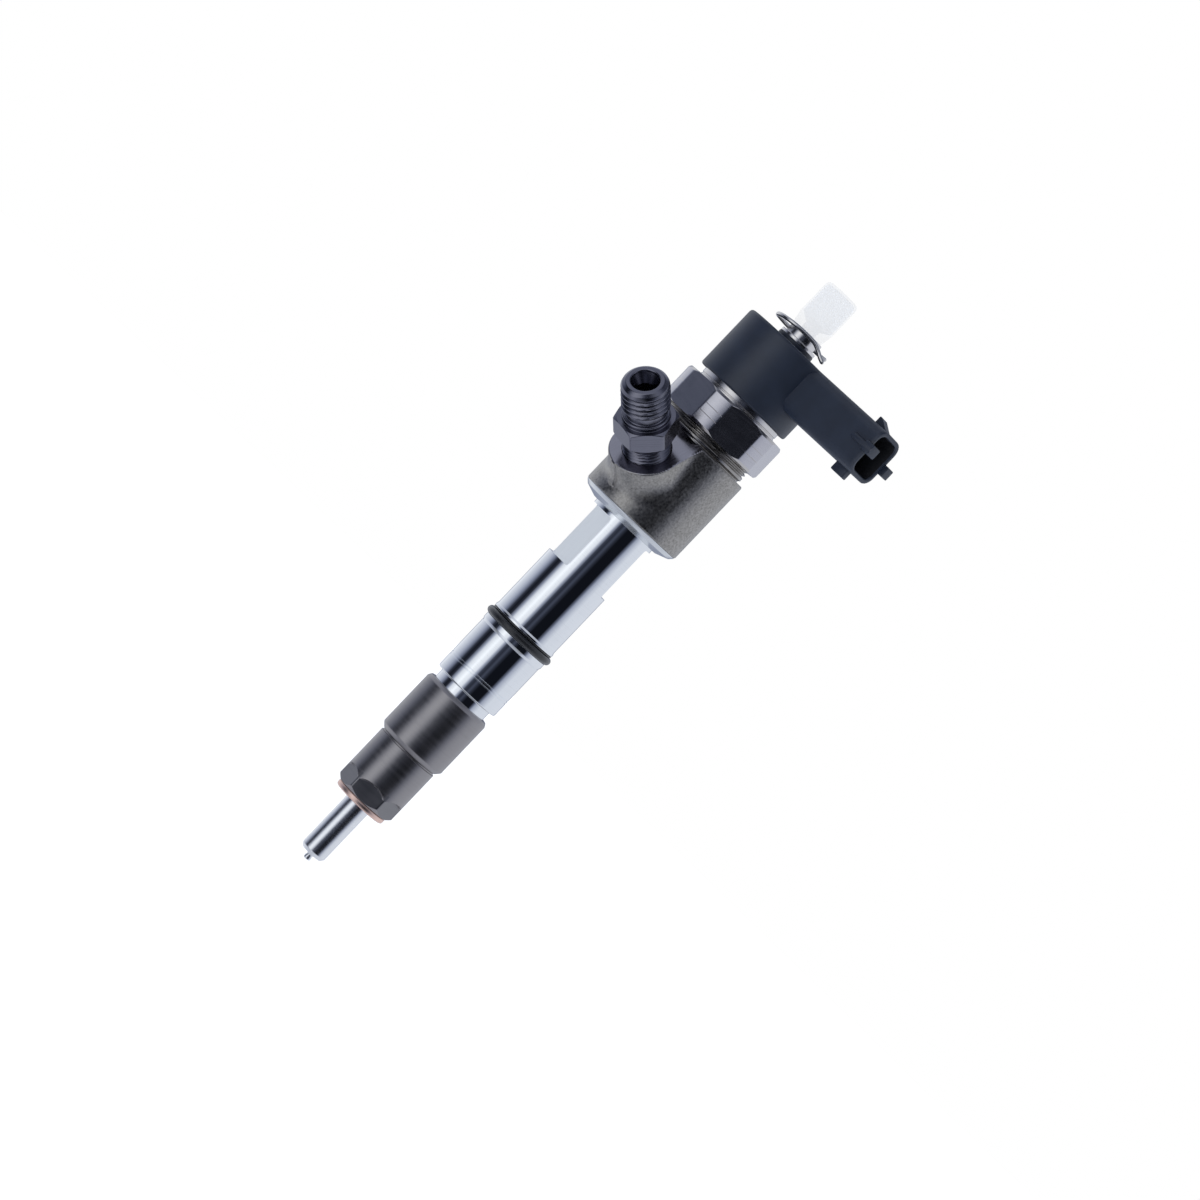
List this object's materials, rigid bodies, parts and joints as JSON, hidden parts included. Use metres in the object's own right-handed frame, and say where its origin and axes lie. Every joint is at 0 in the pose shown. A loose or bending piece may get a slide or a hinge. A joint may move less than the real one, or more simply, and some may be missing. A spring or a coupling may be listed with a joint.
{
  "type": "fuel injector",
  "caption": "Common-rail diesel injector with a solenoid valve, an angled high-pressure inlet and a side connector.",
  "frame": {"origin": "on the injector's axis at the underside of the copper sealing washer, which seats in the cylinder head", "axes": "+Z along the injector's axis from the nozzle to the solenoid; +X towards the high-pressure inlet, whose axis leans 60 degrees from +Z; +Y along the electrical connector"},
  "size_m": [0.0524, 0.0562, 0.1895],
  "materials": {
    "ground_steel": "ground bright",
    "nut_steel": "dark phosphated, satin",
    "forged_steel": "shot-blasted forging, rough",
    "black_steel": "black phosphated, satin",
    "hex_nut_steel": "dark flats, turned bright corners",
    "copper": "annealed copper, satin",
    "spring_steel": "bright spring steel",
    "hard_steel": "lapped",
    "plastic": "glass-filled nylon, fine satin",
    "seal_rubber": "matt",
    "clear_plastic": "translucent polyethylene",
    "coil_wire": "enamelled copper wire",
    "tinned": "tinned contact"
  },
  "bodies": {
    "housing": {"nozzle_body": "ground_steel", "nozzle_nut": "nut_steel", "sealing_washer": "copper", "dowel_pin_1": "spring_steel", "dowel_pin_2": "spring_steel", "nozzle_spring": "spring_steel", "spring_shim": "spring_steel", "injector_body": "forged_steel", "body_o_ring": "seal_rubber", "body_backup_ring": "seal_rubber", "inlet_fitting": "black_steel", "edge_filter": "spring_steel", "valve_body": "hard_steel", "valve_seal_ring": "seal_rubber", "valve_clamp_nut": "nut_steel", "armature_guide": "hard_steel", "armature_spring": "spring_steel", "armature_lift_shim": "spring_steel", "solenoid_core": "nut_steel", "coil_bobbin": "plastic", "solenoid_coil": "coil_wire", "valve_spring": "spring_steel", "valve_spring_shim": "spring_steel", "solenoid_sleeve": "ground_steel", "solenoid_o_ring": "seal_rubber", "solenoid_nut": "hex_nut_steel", "solenoid_cap": "plastic", "terminal_lower": "tinned", "terminal_upper": "tinned", "return_port": "ground_steel", "port_collar": "seal_rubber"},
    "needle": {"nozzle_needle": "hard_steel", "spring_seat": "spring_steel"},
    "piston": {"control_piston": "hard_steel"},
    "armature": {"armature_pin": "hard_steel", "armature_c_washer": "spring_steel", "ball_holder": "hard_steel", "valve_ball": "hard_steel"},
    "plate": {"armature_plate": "spring_steel"},
    "clip": {"retaining_clip": "spring_steel"},
    "cap": {"protective_cap": "clear_plastic"}
  },
  "joints": [
    {"name": "needle_lift", "type": "slide", "parent": "housing", "child": "needle", "axis": [0, 0, 1], "range_m": [0, 0.00025], "stiffness_N_per_m": 5000, "springref_m": -0.0005, "deforming": ["nozzle_spring"]},
    {"name": "piston_lift", "type": "slide", "parent": "housing", "child": "piston", "axis": [0, 0, 1], "range_m": [0, 0.00025]},
    {"name": "armature_lift", "type": "slide", "parent": "housing", "child": "armature", "axis": [0, 0, 1], "range_m": [0, 0.00005], "stiffness_N_per_m": 5000, "springref_m": -0.0005, "deforming": ["valve_spring"]},
    {"name": "plate_overtravel", "type": "slide", "parent": "armature", "child": "plate", "axis": [0, 0, -1], "range_m": [0, 0.00005], "stiffness_N_per_m": 1000, "springref_m": -0.0005, "deforming": ["armature_spring"]},
    {"name": "clip_slide", "type": "slide", "parent": "housing", "child": "clip", "axis": [0.565, -0.8251, 0], "range_m": [0, 0.016]},
    {"name": "cap_pull", "type": "slide", "parent": "housing", "child": "cap", "axis": [0, 0, 1], "range_m": [0, 0.02]}
  ],
  "couplings": [
    {"joint": "piston_lift", "follows": "needle_lift", "ratio": 1}
  ]
}
